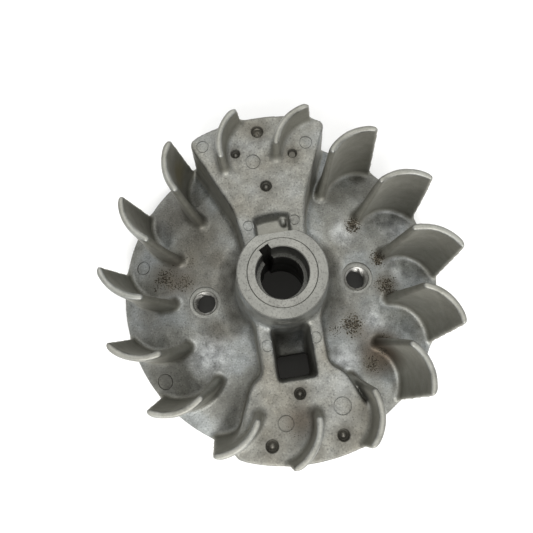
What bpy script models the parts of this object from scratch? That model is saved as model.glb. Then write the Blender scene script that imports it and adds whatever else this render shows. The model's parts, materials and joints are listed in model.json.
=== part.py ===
"""Fan flywheel of a small two-stroke engine.

The casting stands on its rear face: +Z is the crankshaft axis, from the crankcase side to the
fan side, and the two tapped clutch holes lie on the X axis. The magnet boss is at +Y and the
counterweight boss at -Y. Every size below is in millimetres and angles are in degrees.
"""

import math

import bmesh
import bpy
from mathutils import Matrix, Vector

MM = 0.001

# Whole wheel
HEIGHT = 42.0
OUTER_R = 52.0
STEPS = 80
GAP = 0.3

# How far the shapes that join or cut run past the finished faces
OVERLAP = 1.0
ABOVE_BOLT_BOSS_Z = 12.0
ABOVE_WEB_Z = 20.0
ABOVE_PLATEAU_Z = 30.0
ABOVE_BLADES_Z = 40.0
HUB_CLEAR_R = 20.0
KEYWAY_START = 3.0

# Hub and web
HUB_TOP_R = 12.4
HUB_CHAMFER = 0.4
HUB_FOOT_R = 14.4
HUB_FOOT_Z = 17.0
REAR_HUB_R = 15.5
WEB_ROOT_R = 22.5
WEB_ROOT_Z = 9.1
WEB_MIDDLE = (40.0, 6.4)
RIM_TOP_Z = 3.0
WEB_THICKNESS = 3.7
RIM_LIP = 4.5
RIM_LIP_Z = 0.8
REAR_HUB_FOOT_Z = 4.6

# Steel bush cast into the hub: counterbore, then a 1:10 taper that opens to the rear
BUSH_R = 9.5
BUSH_COLLAR_R = 10.7
BUSH_COLLAR_Z = (17.0, 23.0)
COUNTERBORE_R = 7.17
COUNTERBORE_DEPTH = 9.0
TAPER_SMALL_R = 5.95
TAPER_LARGE_R = 7.6
KEYWAY_WIDTH = 3.0
KEYWAY_REACH = 8.67
KEYWAY_ANGLE = 117.8

# Two tapped holes for the clutch bolts, M8
BOLT_CIRCLE_R = 25.0
BOLT_HOLE_R = 3.3
SPOT_FACE_R = 4.9
SPOT_FACE_Z = 7.4
BOLT_BOSS_R = 8.0
BOLT_BOSS_TOP_Z = 7.0
REAR_RIB_X = (14.0, 20.0)
REAR_RIB_HALF_WIDTH = 2.5
REAR_RIB_TOP_Z = 6.0

# Fan blades: circular-arc walls, thinner and a little further round at the top
BLADE_COUNT = 15
BLADE_TOP_Z = 35.8
BLADE_INNER_Z = 35.4
BLADE_ROOT_Z = (4.9, 1.6)
BLADE_BASE_ARC = {"x": 39.0, "y": -7.0, "r": 13.9, "inner": 112.0, "outer": 21.0}
BLADE_TOP_ARC = {"x": 39.9, "y": -5.2, "r": 12.9, "inner": 92.5, "outer": 27.0}
BLADE_BASE_THICKNESS = 3.3
BLADE_TOP_THICKNESS = 1.8

# Magnet boss at +Y and counterweight boss at -Y
PLATEAU_Z = 26.5
BOSS_HALF_ANGLE = 24.5
BOSS_DRAFT = 1.1
BOSS_CORNER = 3.0
BOSS_FOOT_Y = 9.0
SHOULDER_R = 27.0
NECK_HALF_WIDTH = 10.5
NECK_WAIST_Y = 21.5
NECK_ROOT_HALF_WIDTH = 8.8
RIB_HALF_WIDTH = 9.5
RIB_END_Y = 25.6
RIB_STEP = (13.6, 28.6)
RIB_SHOULDER_R = 34.5
RIB_SHOULDER_SHIFT = 0.6

# Slot between the counterweight ribs, with a window through the web at its outer end
SLOT_HALF_WIDTH = 5.7
SLOT_END_Y = 28.6
SLOT_CORNER = 1.6
WINDOW_HALF_WIDTH = 4.6
WINDOW_Y = (-27.5, -21.6)
WINDOW_TOP_Z = 16.0
WINDOW_CORNER = 1.2

# Shallow pocket in the magnet neck
POCKET_HALF_WIDTH = 5.5
POCKET_Y = (14.6, 21.8)
POCKET_DEPTH = 2.4

# Marks left by the pins that held the inserts in the die: x, y, radius
MAGNET_PITS = ((0.2, 47.2, 1.7), (-7.5, 41.2, 1.3), (9.7, 38.8, 1.3))
NECK_PIT = (0.1, 29.6, 1.6)
NECK_PIT_DEPTH = 2.0
WEIGHT_PITS = ((-0.2, -32.8, 1.6), (-10.3, -45.5, 1.7), (9.9, -45.7, 1.6))
PIT_REACH = 0.6

# Magnet with a laminated pole shoe at each end
INSERT_Z = (8.3, 21.7)
MAGNET_HALF_WIDTH = 8.5
MAGNET_Y = (38.2, 47.4)
LAMINATIONS = 7
SHOE_INNER_X = 8.8
SHOE_OUTER_X = 14.6
SHOE_FACE_X = (9.6, 17.4)
SHOE_TIP_Y = 44.5
STACK_Z = (9.1, 20.9)
RIVET_R = 1.1
RIVET_HEAD_R = 1.9
RIVET_HEAD_THICKNESS = 0.5
RIVET_PLACES = ((11.9, 40.6), (13.2, 46.6))

# Counterweight cast into the boss opposite the magnet
WEIGHT_Z = (12.0, 22.0)
WEIGHT_INNER_Y = -31.4
WEIGHT_INNER_HALF_WIDTH = 5.0
WEIGHT_OUTER_HALF_WIDTH = 12.6
WEIGHT_OUTER_R = 48.4


def clear_scene():
    for thing in list(bpy.data.objects):
        bpy.data.objects.remove(thing, do_unlink=True)


def new_collection(name):
    collection = bpy.data.collections.new(name)
    bpy.context.scene.collection.children.link(collection)
    return collection


def finish(name, colour, roughness, metallic):
    """One Principled material."""
    made = bpy.data.materials.new(name)
    made.use_nodes = True
    shader = made.node_tree.nodes["Principled BSDF"]
    shader.inputs["Base Color"].default_value = (*colour, 1.0)
    shader.inputs["Roughness"].default_value = roughness
    shader.inputs["Metallic"].default_value = metallic
    return made


def add_object(name, mesh, collection):
    made = bpy.data.objects.new(name, mesh)
    collection.objects.link(made)
    return made


def add_helper(name, mesh, collection):
    """A shape that only joins or cuts others."""
    made = add_object(name, mesh, collection)
    made.hide_render = True
    made.display_type = "WIRE"
    return made


def polar(radius, angle):
    return (radius * math.cos(math.radians(angle)), radius * math.sin(math.radians(angle)))


def arc(radius, start, end, count):
    """Points on a circle round the crankshaft axis."""
    return [polar(radius, start + (end - start) * i / (count - 1)) for i in range(count)]


def rounded_corner(before, corner, after, radius, count=4):
    """A quadratic curve that replaces a sharp corner."""
    corner, before, after = Vector(corner), Vector(before), Vector(after)
    first = corner + (before - corner).normalized() * radius
    last = corner + (after - corner).normalized() * radius
    points = []
    for i in range(count):
        t = i / (count - 1)
        points.append(tuple(first * (1 - t) ** 2 + corner * 2 * t * (1 - t) + last * t ** 2))
    return points


def mirrored(half):
    """A right-hand half outline, inner end first, closed by its reflection in the Y axis."""
    return list(half) + [(-x, y) for x, y in reversed(half)]


def turned(name, profile, steps=STEPS):
    """A closed profile of (radius, height) turned round the Z axis."""
    mesh = bpy.data.meshes.new(name)
    count = len(profile)
    edges = [(i, (i + 1) % count) for i in range(count)]
    mesh.from_pydata([(r * MM, 0.0, z * MM) for r, z in profile], edges, [])
    scratch = bpy.data.objects.new(name, mesh)
    bpy.context.scene.collection.objects.link(scratch)
    screw = scratch.modifiers.new("turn", "SCREW")
    screw.angle = math.tau
    screw.steps = steps
    screw.render_steps = steps
    screw.use_merge_vertices = True
    screw.merge_threshold = 0.00001
    return baked(scratch)


def baked(scratch):
    """The evaluated mesh of a scratch object, which is then removed."""
    bpy.context.view_layer.update()
    evaluated = scratch.evaluated_get(bpy.context.evaluated_depsgraph_get())
    mesh = bpy.data.meshes.new_from_object(evaluated)
    mesh.name = scratch.name
    mesh.transform(scratch.matrix_world)
    bpy.data.objects.remove(scratch, do_unlink=True)
    shell = bmesh.new()
    shell.from_mesh(mesh)
    bmesh.ops.remove_doubles(shell, verts=shell.verts, dist=0.000001)
    shell.to_mesh(mesh)
    shell.free()
    return mesh


def prism(name, outline, low, high):
    """A flat outline extruded from one height to another."""
    curve = bpy.data.curves.new(name, "CURVE")
    curve.dimensions = "2D"
    curve.fill_mode = "BOTH"
    curve.extrude = (high - low) / 2 * MM
    spline = curve.splines.new("POLY")
    spline.points.add(len(outline) - 1)
    for point, (x, y) in zip(spline.points, outline):
        point.co = (x * MM, y * MM, 0.0, 1.0)
    spline.use_cyclic_u = True
    scratch = bpy.data.objects.new(name, curve)
    bpy.context.scene.collection.objects.link(scratch)
    scratch.location.z = (low + high) / 2 * MM
    return baked(scratch)


def drafted(name, foot, top, low, high):
    """A loft from a foot outline to a smaller top outline with as many points."""
    mesh = bpy.data.meshes.new(name)
    shell = bmesh.new()
    rings = []
    for outline, z in ((foot, low), (top, high)):
        rings.append([shell.verts.new((x * MM, y * MM, z * MM)) for x, y in outline])
    shell.faces.new(rings[0])
    shell.faces.new(rings[1])
    count = len(foot)
    for i in range(count):
        j = (i + 1) % count
        shell.faces.new((rings[0][i], rings[0][j], rings[1][j], rings[1][i]))
    bmesh.ops.recalc_face_normals(shell, faces=shell.faces)
    shell.to_mesh(mesh)
    shell.free()
    return mesh


def rod(name, radius, low, high, place=(0.0, 0.0), sides=24):
    """An upright cylinder."""
    mesh = bpy.data.meshes.new(name)
    shell = bmesh.new()
    middle = Vector((place[0] * MM, place[1] * MM, (low + high) / 2 * MM))
    bmesh.ops.create_cone(
        shell, cap_ends=True, segments=sides, radius1=radius * MM, radius2=radius * MM,
        depth=(high - low) * MM, matrix=Matrix.Translation(middle))
    shell.to_mesh(mesh)
    shell.free()
    return mesh


def boolean(target, operation, collection):
    """Join, cut or trim the target with a collection of helpers, then tidy the seams."""
    step = target.modifiers.new(operation.lower(), "BOOLEAN")
    step.operation = operation
    step.operand_type = "COLLECTION"
    step.collection = collection
    step.solver = "EXACT"
    seams = target.modifiers.new("seams", "WELD")
    seams.merge_threshold = 0.00002
    flats = target.modifiers.new("flats", "TRIANGULATE")
    flats.min_vertices = 5


def shade_round(thing, angle=35.0):
    thing.data.shade_smooth()
    thing.data.set_sharp_from_angle(angle=math.radians(angle))


# ---------------------------------------------------------------- casting

def hub_and_web_profile():
    """Hub flank, fillet, coned web, rim lip, coned underside and rear hub."""
    flare = []
    count = 6
    for i in range(count + 1):
        turn = math.radians(90.0 * i / count)
        flare.append((WEB_ROOT_R - (WEB_ROOT_R - HUB_FOOT_R) * math.cos(turn),
                      HUB_FOOT_Z - (HUB_FOOT_Z - WEB_ROOT_Z) * math.sin(turn)))
    lip_r = OUTER_R - RIM_LIP
    under_web = (WEB_ROOT_R - 3.0, WEB_ROOT_Z - WEB_THICKNESS - 0.6)
    return [
        (0.0, HEIGHT + OVERLAP), (HUB_TOP_R, HEIGHT + OVERLAP), (HUB_TOP_R, HEIGHT - OVERLAP),
        *flare, WEB_MIDDLE, (OUTER_R - 1.0, RIM_TOP_Z + 0.2), (OUTER_R + OVERLAP, RIM_TOP_Z),
        (OUTER_R + OVERLAP, -OVERLAP), (lip_r, -OVERLAP), (lip_r, RIM_LIP_Z),
        under_web, (REAR_HUB_R + 1.0, REAR_HUB_FOOT_Z),
        (REAR_HUB_R, -OVERLAP), (0.0, -OVERLAP)]


def blade_mesh(name, angle):
    """An arc wall on a grid: along the arc by height, thickened by a solidify."""
    columns, rows = 9, 3
    shell = bmesh.new()
    bmesh.ops.create_grid(shell, x_segments=columns - 1, y_segments=rows - 1, size=0.5)
    turn = Matrix.Rotation(math.radians(angle), 4, "Z")
    heights = {}
    for vert in shell.verts:
        along, up = vert.co.x + 0.5, vert.co.y + 0.5
        low, top = BLADE_BASE_ARC, BLADE_TOP_ARC
        mixed = {key: low[key] + (top[key] - low[key]) * up for key in low}
        swing = math.radians(mixed["inner"] + (mixed["outer"] - mixed["inner"]) * along)
        crest = BLADE_INNER_Z + (BLADE_TOP_Z - BLADE_INNER_Z) * along
        root = BLADE_ROOT_Z[0] + (BLADE_ROOT_Z[1] - BLADE_ROOT_Z[0]) * along
        place = Vector((mixed["x"] + mixed["r"] * math.cos(swing),
                        mixed["y"] + mixed["r"] * math.sin(swing), root + (crest - root) * up))
        vert.co = turn @ (place * MM)
        heights[vert.index] = up
    mesh = bpy.data.meshes.new(name)
    shell.to_mesh(mesh)
    shell.free()
    scratch = bpy.data.objects.new(name, mesh)
    bpy.context.scene.collection.objects.link(scratch)
    thin = scratch.vertex_groups.new(name="wall")
    for index, up in heights.items():
        thin.add([index], 1.0 - up, "REPLACE")
    wall = scratch.modifiers.new("wall", "SOLIDIFY")
    wall.thickness = BLADE_BASE_THICKNESS * MM
    wall.offset = 0.0
    wall.vertex_group = thin.name
    wall.thickness_vertex_group = BLADE_TOP_THICKNESS / BLADE_BASE_THICKNESS
    return baked(scratch)


def boss_rim(shoulder, corner, edge):
    """Rounded outer corner of a boss, then its rim just past the finished outside."""
    tangent = tuple(Vector(corner) + Vector(polar(10.0, edge + 90.0)))
    rim = arc(OUTER_R + OVERLAP, edge + 6.0, 90.0, 5)[:-1]
    return rounded_corner(shoulder, corner, tangent, BOSS_CORNER) + rim


def magnet_boss_outline(grow):
    """Neck from the hub, shoulder, radial side and rim arc past the finished outside."""
    edge = 90.0 - BOSS_HALF_ANGLE
    side = Vector(polar(1.0, edge - 90.0)) * grow
    foot = (NECK_ROOT_HALF_WIDTH + grow, BOSS_FOOT_Y)
    waist = (NECK_HALF_WIDTH + grow, NECK_WAIST_Y)
    shoulder = tuple(Vector(polar(SHOULDER_R, edge)) + side)
    corner = tuple(Vector(polar(OUTER_R, edge)) + side)
    half = [foot, waist, shoulder, *boss_rim(shoulder, corner, edge)]
    return mirrored(half)


def weight_boss_outline(grow):
    """Two ribs from the hub with a slot between, a stepped shoulder, the side and the rim arc."""
    edge = 90.0 - BOSS_HALF_ANGLE
    side = Vector(polar(1.0, edge - 90.0)) * grow
    foot = (RIB_HALF_WIDTH + grow * 0.6, BOSS_FOOT_Y)
    inner = (RIB_HALF_WIDTH + grow * 0.6, RIB_END_Y - grow * 0.5)
    step = (RIB_STEP[0] + grow, RIB_STEP[1] - grow)
    shift = Vector((RIB_SHOULDER_SHIFT, 0.0))
    shoulder = tuple(Vector(polar(RIB_SHOULDER_R, edge)) + side + shift)
    corner = tuple(Vector(polar(OUTER_R, edge)) + side)
    slot_foot = (SLOT_HALF_WIDTH - grow, BOSS_FOOT_Y)
    slot_end = (SLOT_HALF_WIDTH - grow, SLOT_END_Y - grow)
    slot = rounded_corner((0.0, SLOT_END_Y - grow), slot_end, slot_foot, SLOT_CORNER)
    half = [*slot, slot_foot, foot, inner, step, shoulder, *boss_rim(shoulder, corner, edge)]
    return [(x, -y) for x, y in mirrored(half)]


def shoe_outline(grow):
    """One pole shoe seen along the crankshaft axis, right-hand side."""
    low_angle = math.degrees(math.acos((SHOE_FACE_X[1] + grow) / OUTER_R))
    high_angle = math.degrees(math.acos((SHOE_FACE_X[0] - grow) / OUTER_R))
    face = arc(OUTER_R + 4.0 * grow, low_angle, high_angle, 5)
    return [(SHOE_INNER_X - grow, MAGNET_Y[0] - grow), (SHOE_OUTER_X + grow, MAGNET_Y[0] - grow),
            (SHOE_FACE_X[1] + grow, SHOE_TIP_Y), *face, (SHOE_INNER_X - grow, MAGNET_Y[1] + grow)]


def insert_seat_outline():
    """The cavity round the magnet and both pole shoes, open at the rim."""
    half = shoe_outline(GAP)[1:]
    return mirrored(half)


def magnet_outline(grow):
    half = MAGNET_HALF_WIDTH + grow
    low, high = MAGNET_Y[0] - grow, MAGNET_Y[1] + grow
    return [(half, low), (half, high), (-half, high), (-half, low)]


def weight_outline(grow):
    """A wedge-shaped slug with a curved outer side."""
    radius = WEIGHT_OUTER_R + grow
    reach = math.degrees(math.asin((WEIGHT_OUTER_HALF_WIDTH + grow) / radius))
    half = WEIGHT_INNER_HALF_WIDTH + grow
    top = WEIGHT_INNER_Y + grow
    return [(-half, top), *arc(radius, 270.0 - reach, 270.0 + reach, 7), (half, top)]


def bush_profile(grow):
    """The outside of the bush, with a collar that locks it in the casting."""
    low, high = BUSH_COLLAR_Z
    return [(BUSH_R + grow, HEIGHT + 3 * grow), (BUSH_R + grow, high + grow),
            (BUSH_COLLAR_R + grow, high + grow), (BUSH_COLLAR_R + grow, low - grow),
            (BUSH_R + grow, low - grow), (BUSH_R + grow, -3 * grow)]


def window_outline():
    half = WINDOW_HALF_WIDTH
    low, high = WINDOW_Y
    corners = [(half, low), (half, high), (-half, high), (-half, low)]
    outline = []
    for i, corner in enumerate(corners):
        outline += rounded_corner(corners[i - 1], corner, corners[(i + 1) % 4], WINDOW_CORNER)
    return outline


def rear_rib_outline(side):
    """One short rib between the rear hub and a bolt boss."""
    half = REAR_RIB_HALF_WIDTH
    near, far = side * REAR_RIB_X[0], side * REAR_RIB_X[1]
    return [(near, -half), (far, -half), (far, half), (near, half)]


def make_casting(parts):
    bosses = new_collection("cast_on")
    trims = new_collection("turned_outside")
    holes = new_collection("cut_out")

    casting = add_object("flywheel_casting", turned("flywheel_casting", hub_and_web_profile()),
                         parts)
    add_helper("magnet_boss", drafted("magnet_boss", magnet_boss_outline(BOSS_DRAFT),
                                      magnet_boss_outline(0.0), -1.0, PLATEAU_Z), bosses)
    add_helper("weight_boss", drafted("weight_boss", weight_boss_outline(BOSS_DRAFT),
                                      weight_boss_outline(0.0), -1.2, PLATEAU_Z), bosses)
    for side in (-1, 1):
        place = (side * BOLT_CIRCLE_R, 0.0)
        boss = rod("bolt_boss", BOLT_BOSS_R, -1.4, BOLT_BOSS_TOP_Z, place)
        add_helper("bolt_boss", boss, bosses)
        rib = prism("rear_rib", rear_rib_outline(side), -0.6, REAR_RIB_TOP_Z)
        add_helper("rear_rib", rib, bosses)
        seat = rod("spot_face", SPOT_FACE_R, SPOT_FACE_Z, ABOVE_WEB_Z, place, 32)
        add_helper("spot_face", seat, holes)
        bore = rod("bolt_hole", BOLT_HOLE_R, -2.0 * OVERLAP, ABOVE_BOLT_BOSS_Z, place, 28)
        add_helper("bolt_hole", bore, holes)
    for number in range(BLADE_COUNT):
        name = "blade_%02d" % (number + 1)
        add_helper(name, blade_mesh(name, 360.0 / BLADE_COUNT * number), bosses)

    outside = [(0.0, HEIGHT), (HUB_TOP_R - HUB_CHAMFER, HEIGHT), (HUB_TOP_R, HEIGHT - HUB_CHAMFER),
               (HUB_CLEAR_R, ABOVE_BLADES_Z), (OUTER_R, ABOVE_BLADES_Z), (OUTER_R, 0.0), (0.0, 0.0)]
    add_helper("turned_outside", turned("turned_outside", outside), trims)

    seat = [(0.0, HEIGHT + OVERLAP), *bush_profile(GAP), (0.0, -OVERLAP)]
    add_helper("bush_seat", turned("bush_seat", seat, 48), holes)
    window = prism("window", window_outline(), -2.0 * OVERLAP, WINDOW_TOP_Z)
    add_helper("window", window, holes)
    half = POCKET_HALF_WIDTH
    pocket = [(half, POCKET_Y[0]), (half, POCKET_Y[1]), (-half, POCKET_Y[1]), (-half, POCKET_Y[0])]
    hollow = prism("neck_pocket", pocket, PLATEAU_Z - POCKET_DEPTH, ABOVE_PLATEAU_Z - OVERLAP)
    add_helper("neck_pocket", hollow, holes)

    low, high = INSERT_Z[0] - GAP, INSERT_Z[1] + GAP
    add_helper("magnet_seat", prism("magnet_seat", insert_seat_outline(), low, high), holes)
    for x, y, radius in MAGNET_PITS:
        add_helper("pit", rod("pit", radius, high - PIT_REACH, ABOVE_PLATEAU_Z, (x, y), 16), holes)
    x, y, radius = NECK_PIT
    shallow = rod("pit", radius, PLATEAU_Z - NECK_PIT_DEPTH, ABOVE_PLATEAU_Z, (x, y), 16)
    add_helper("pit", shallow, holes)

    low, high = WEIGHT_Z[0] - GAP, WEIGHT_Z[1] + GAP
    add_helper("weight_seat", prism("weight_seat", weight_outline(GAP), low, high), holes)
    for x, y, radius in WEIGHT_PITS:
        add_helper("pit", rod("pit", radius, high - PIT_REACH, ABOVE_PLATEAU_Z, (x, y), 16), holes)

    boolean(casting, "UNION", bosses)
    boolean(casting, "INTERSECT", trims)
    boolean(casting, "DIFFERENCE", holes)
    return casting


# ---------------------------------------------------------------- inserts

def make_bush(parts, cutters):
    """Steel bush: outside with the locking collar, taper bore, counterbore and keyway."""
    outside = bush_profile(0.0)
    shoulder_z = HEIGHT - COUNTERBORE_DEPTH
    profile = outside + [(TAPER_LARGE_R, 0.0), (TAPER_SMALL_R, shoulder_z),
                         (COUNTERBORE_R, shoulder_z), (COUNTERBORE_R, HEIGHT)]
    bush = add_object("hub_bush", turned("hub_bush", profile, 48), parts)
    half = KEYWAY_WIDTH / 2
    near = KEYWAY_START
    slot = [(near, -half), (KEYWAY_REACH, -half), (KEYWAY_REACH, half), (near, half)]
    mesh = prism("keyway", slot, -OVERLAP, HEIGHT + OVERLAP)
    mesh.transform(Matrix.Rotation(math.radians(KEYWAY_ANGLE), 4, "Z"))
    cutter = add_helper("keyway", mesh, cutters)
    step = bush.modifiers.new("keyway", "BOOLEAN")
    step.operation = "DIFFERENCE"
    step.object = cutter
    step.solver = "EXACT"
    return bush


def make_pole_shoe(side, label, parts, cutters, steel, rivet_steel):
    """A stack of laminations with two rivets through it."""
    count = LAMINATIONS
    sheet = (STACK_Z[1] - STACK_Z[0] - GAP * (count - 1)) / count
    holes = new_collection("rivet_holes_" + label)
    cutters.children.link(holes)
    bpy.context.scene.collection.children.unlink(holes)
    for number, (x, y) in enumerate(RIVET_PLACES):
        place = (side * x, y)
        hole = rod("rivet_hole", RIVET_R + GAP, STACK_Z[0] - 1.0, STACK_Z[1] + 1.0, place, 16)
        add_helper("rivet_hole", hole, holes)
        low, high = INSERT_Z
        head = RIVET_HEAD_THICKNESS
        profile = [(0.0, high), (RIVET_HEAD_R, high), (RIVET_HEAD_R, high - head),
                   (RIVET_R, high - head), (RIVET_R, low + head), (RIVET_HEAD_R, low + head),
                   (RIVET_HEAD_R, low), (0.0, low)]
        mesh = turned("rivet", profile, 16)
        mesh.transform(Matrix.Translation(Vector((place[0], place[1], 0.0)) * MM))
        rivet = add_object("%s_pole_rivet_%d" % (label, number + 1), mesh, parts)
        rivet.data.materials.append(rivet_steel)
        shade_round(rivet)
    outline = [(side * x, y) for x, y in shoe_outline(0.0)]
    for number in range(count):
        low = STACK_Z[0] + number * (sheet + GAP)
        name = "%s_pole_lamination_%d" % (label, number + 1)
        plate = add_object(name, prism(name, outline, low, low + sheet), parts)
        plate.data.materials.append(steel)
        boolean(plate, "DIFFERENCE", holes)


def main():
    clear_scene()
    parts = new_collection("flywheel")
    cutters = new_collection("cutters")

    bush = make_bush(parts, cutters)
    bush.data.materials.append(finish("bush_steel", (0.42, 0.42, 0.41), 0.38, 0.95))
    shade_round(bush)

    magnet_mesh = prism("ignition_magnet", magnet_outline(0.0), *INSERT_Z)
    magnet = add_object("ignition_magnet", magnet_mesh, parts)
    magnet.data.materials.append(finish("magnet_alloy", (0.12, 0.12, 0.125), 0.55, 0.6))

    steel = finish("lamination_steel", (0.30, 0.29, 0.28), 0.42, 0.9)
    rivet_steel = finish("rivet_steel", (0.45, 0.45, 0.46), 0.35, 0.95)
    make_pole_shoe(-1, "leading", parts, cutters, steel, rivet_steel)
    make_pole_shoe(1, "trailing", parts, cutters, steel, rivet_steel)

    weight_mesh = prism("counterweight_slug", weight_outline(0.0), *WEIGHT_Z)
    weight = add_object("counterweight_slug", weight_mesh, parts)
    weight.data.materials.append(finish("slug_steel", (0.25, 0.24, 0.23), 0.5, 0.9))

    casting = make_casting(parts)
    casting.data.materials.append(finish("cast_aluminium", (0.33, 0.33, 0.31), 0.48, 0.85))
    shade_round(casting)


main()
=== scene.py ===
"""Looks of the fan flywheel: finer pieces, materials, floor, light and camera round the CAD frame.

The cast body is modelled as a distance field on a grid, because its blades, bosses, web and hub
run into each other in soft fillets. Machined features are cut into it afterwards, with crisp
edges. Sizes are millimetres, angles are degrees, and heights are measured from the rear face.
"""

import json
import math

import bmesh
import bpy
import numpy as np
from mathutils import Matrix, Vector

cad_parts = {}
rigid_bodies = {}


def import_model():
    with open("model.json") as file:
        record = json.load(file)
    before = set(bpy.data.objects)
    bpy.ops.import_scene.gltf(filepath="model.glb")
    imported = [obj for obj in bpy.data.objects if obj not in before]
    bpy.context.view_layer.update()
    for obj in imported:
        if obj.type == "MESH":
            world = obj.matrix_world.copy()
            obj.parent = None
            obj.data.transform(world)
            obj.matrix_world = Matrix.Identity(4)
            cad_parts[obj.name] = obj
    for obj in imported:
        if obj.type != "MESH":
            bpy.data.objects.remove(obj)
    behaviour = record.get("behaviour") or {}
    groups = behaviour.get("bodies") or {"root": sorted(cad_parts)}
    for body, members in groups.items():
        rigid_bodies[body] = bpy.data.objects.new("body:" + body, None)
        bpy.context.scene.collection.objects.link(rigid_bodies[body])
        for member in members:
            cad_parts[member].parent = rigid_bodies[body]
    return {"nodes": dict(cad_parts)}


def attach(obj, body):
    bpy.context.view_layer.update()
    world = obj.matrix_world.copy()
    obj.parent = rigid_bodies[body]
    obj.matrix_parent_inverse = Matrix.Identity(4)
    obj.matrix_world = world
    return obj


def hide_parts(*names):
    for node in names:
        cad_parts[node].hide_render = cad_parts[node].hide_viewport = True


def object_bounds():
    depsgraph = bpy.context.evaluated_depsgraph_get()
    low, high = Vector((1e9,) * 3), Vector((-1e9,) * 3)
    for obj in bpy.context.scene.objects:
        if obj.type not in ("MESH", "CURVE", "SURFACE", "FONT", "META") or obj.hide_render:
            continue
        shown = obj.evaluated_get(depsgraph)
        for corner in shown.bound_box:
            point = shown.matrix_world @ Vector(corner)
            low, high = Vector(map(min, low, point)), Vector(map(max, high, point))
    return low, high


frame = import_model()
cad_low, cad_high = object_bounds()

MM = 0.001

# Whole wheel, from the frame
OUTER_R = (cad_high.x - cad_low.x) / 2 / MM
HEIGHT = (cad_high.z - cad_low.z) / MM
BUSH_R = 9.5

# Hub and web
HUB_TOP_R = 12.4
HUB_CHAMFER = 0.3
HUB_FOOT_R = 14.4
HUB_FOOT_Z = 17.0
REAR_HUB_R = 15.5
WEB_ROOT_R = 22.5
WEB_ROOT_Z = 9.1
WEB_MIDDLE = (40.0, 6.4)
RIM_TOP_Z = 3.2
RIM_LIP = 4.5
COLLAR_R = 10.7
COLLAR_Z = (17.0, 23.0)
LIP_Z = 0.8
UNDERSIDE_R = 19.5
UNDERSIDE_Z = 4.8
REAR_HUB_FOOT = (16.5, 4.6)
RIM_FALL = 0.5
RIM_EDGE = 1.0
SEAM = 0.04

# Bore of the bush
COUNTERBORE_R = 7.17
COUNTERBORE_DEPTH = 9.0
TAPER_SMALL_R = 5.95
TAPER_LARGE_R = 7.6
KEYWAY_WIDTH = 3.0
KEYWAY_START = 3.0
KEYWAY_REACH = 8.67
KEYWAY_ANGLE = 117.8

# Tapped clutch holes, M8
BOLT_CIRCLE_R = 25.0
THREAD_MINOR_R = 3.2
THREAD_MAJOR_R = 4.0
THREAD_PITCH = 1.25
SPOT_FACE_R = 5.1
SPOT_FACE_Z = 7.4
MOUTH_EXTRA_R = 0.15
MOUTH_SLOPE = 1.3
BOLT_BOSS_R = 8.0
BOLT_BOSS_TOP_Z = 6.6

# Short ribs between the rear hub and the bosses of the tapped holes
REAR_RIB_HALF_WIDTH = 2.5
REAR_RIB_MIDDLE_X = 17.0
REAR_RIB_HALF_LENGTH = 3.5
REAR_RIB_TOP_Z = 6.0
REAR_EDGE_ROUNDING = 0.5

# Fan blades
BLADE_COUNT = 15
BLADE_PITCH = 360.0 / BLADE_COUNT
BLADE_TOP_Z = 35.8
BLADE_ROOT_Z = 3.2
BLADE_BASE_ARC = {"x": 39.0, "y": -7.0, "r": 13.9, "inner": 112.0, "outer": 21.0}
BLADE_TOP_ARC = {"x": 39.9, "y": -5.2, "r": 12.9, "inner": 92.5, "outer": 27.0}
BLADE_BASE_THICKNESS = 3.0
BLADE_TOP_THICKNESS = 1.9
BLADE_FILLET = 1.9
BLADE_CREST_ROUNDING = 0.75

# Bosses over the magnet (+Y) and the counterweight (-Y)
PLATEAU_Z = 26.5
BOSS_HALF_ANGLE = 24.5
BOSS_DRAFT = 1.1
BOSS_CORNER = 3.0
BOSS_FILLET = 2.2
BOSS_EDGE_ROUNDING = 0.7
SHOULDER_R = 27.0
NECK_HALF_WIDTH = 10.5
NECK_ROOT_HALF_WIDTH = 8.8
RIB_HALF_WIDTH = 9.5
RIB_SHOULDER_R = 34.5
RIB_SHOULDER_SHIFT = 0.6
RIB_END_Y = 25.6
RIB_STEP = (13.6, 28.6)
RIB_END_ROUNDING = 2.4
RIB_STEP_ROUNDING = 2.0
BOSS_FOOT_Y = 9.0
NECK_WAIST_Y = 21.5
NECK_ROUNDING = 3.0

# Slot between the counterweight ribs with a window in its floor, how far the shade painted in the slot
# reaches, and pocket in the magnet boss
SLOT_HALF_WIDTH = 5.7
SLOT_END_Y = 28.6
SLOT_CORNER = 1.6
SLOT_MIDDLE_Y = 21.5
SLOT_SHADE_REACH = 8.5
WINDOW_HALF_WIDTH = 5.0
WINDOW_Y = (-28.0, -21.2)
WINDOW_CORNER = 1.2
POCKET_HALF_WIDTH = 5.5
POCKET_END_R = 21.1
POCKET_DEPTH = 2.4
POCKET_NEAR_Y = 11.0
POCKET_SIDE_LEAN = 0.3
POCKET_WALL_LEAN = 0.9
POCKET_WALL_STRETCH = 1.35
POCKET_BUMP = (3.5, 18.2, 24.3)
POCKET_BUMP_R = 1.1

# Ejector-pin marks on the plateaus and on the web: x, y, radius
PLATEAU_MARKS = (
    (-17.1, 45.1, 1.9), (14.3, 41.3, 2.0), (-7.1, 18.1, 1.6), (6.8, 17.7, 1.6), (-2.6, 37.8, 2.3),
    (-7.2, -17.9, 1.75), (6.9, -17.7, 1.75), (11.0, -37.8, 2.6), (-5.5, -40.0, 2.35))
WEB_MARKS = ((-44.0, 15.2, 2.3), (-41.6, -22.9, 2.6))

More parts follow.
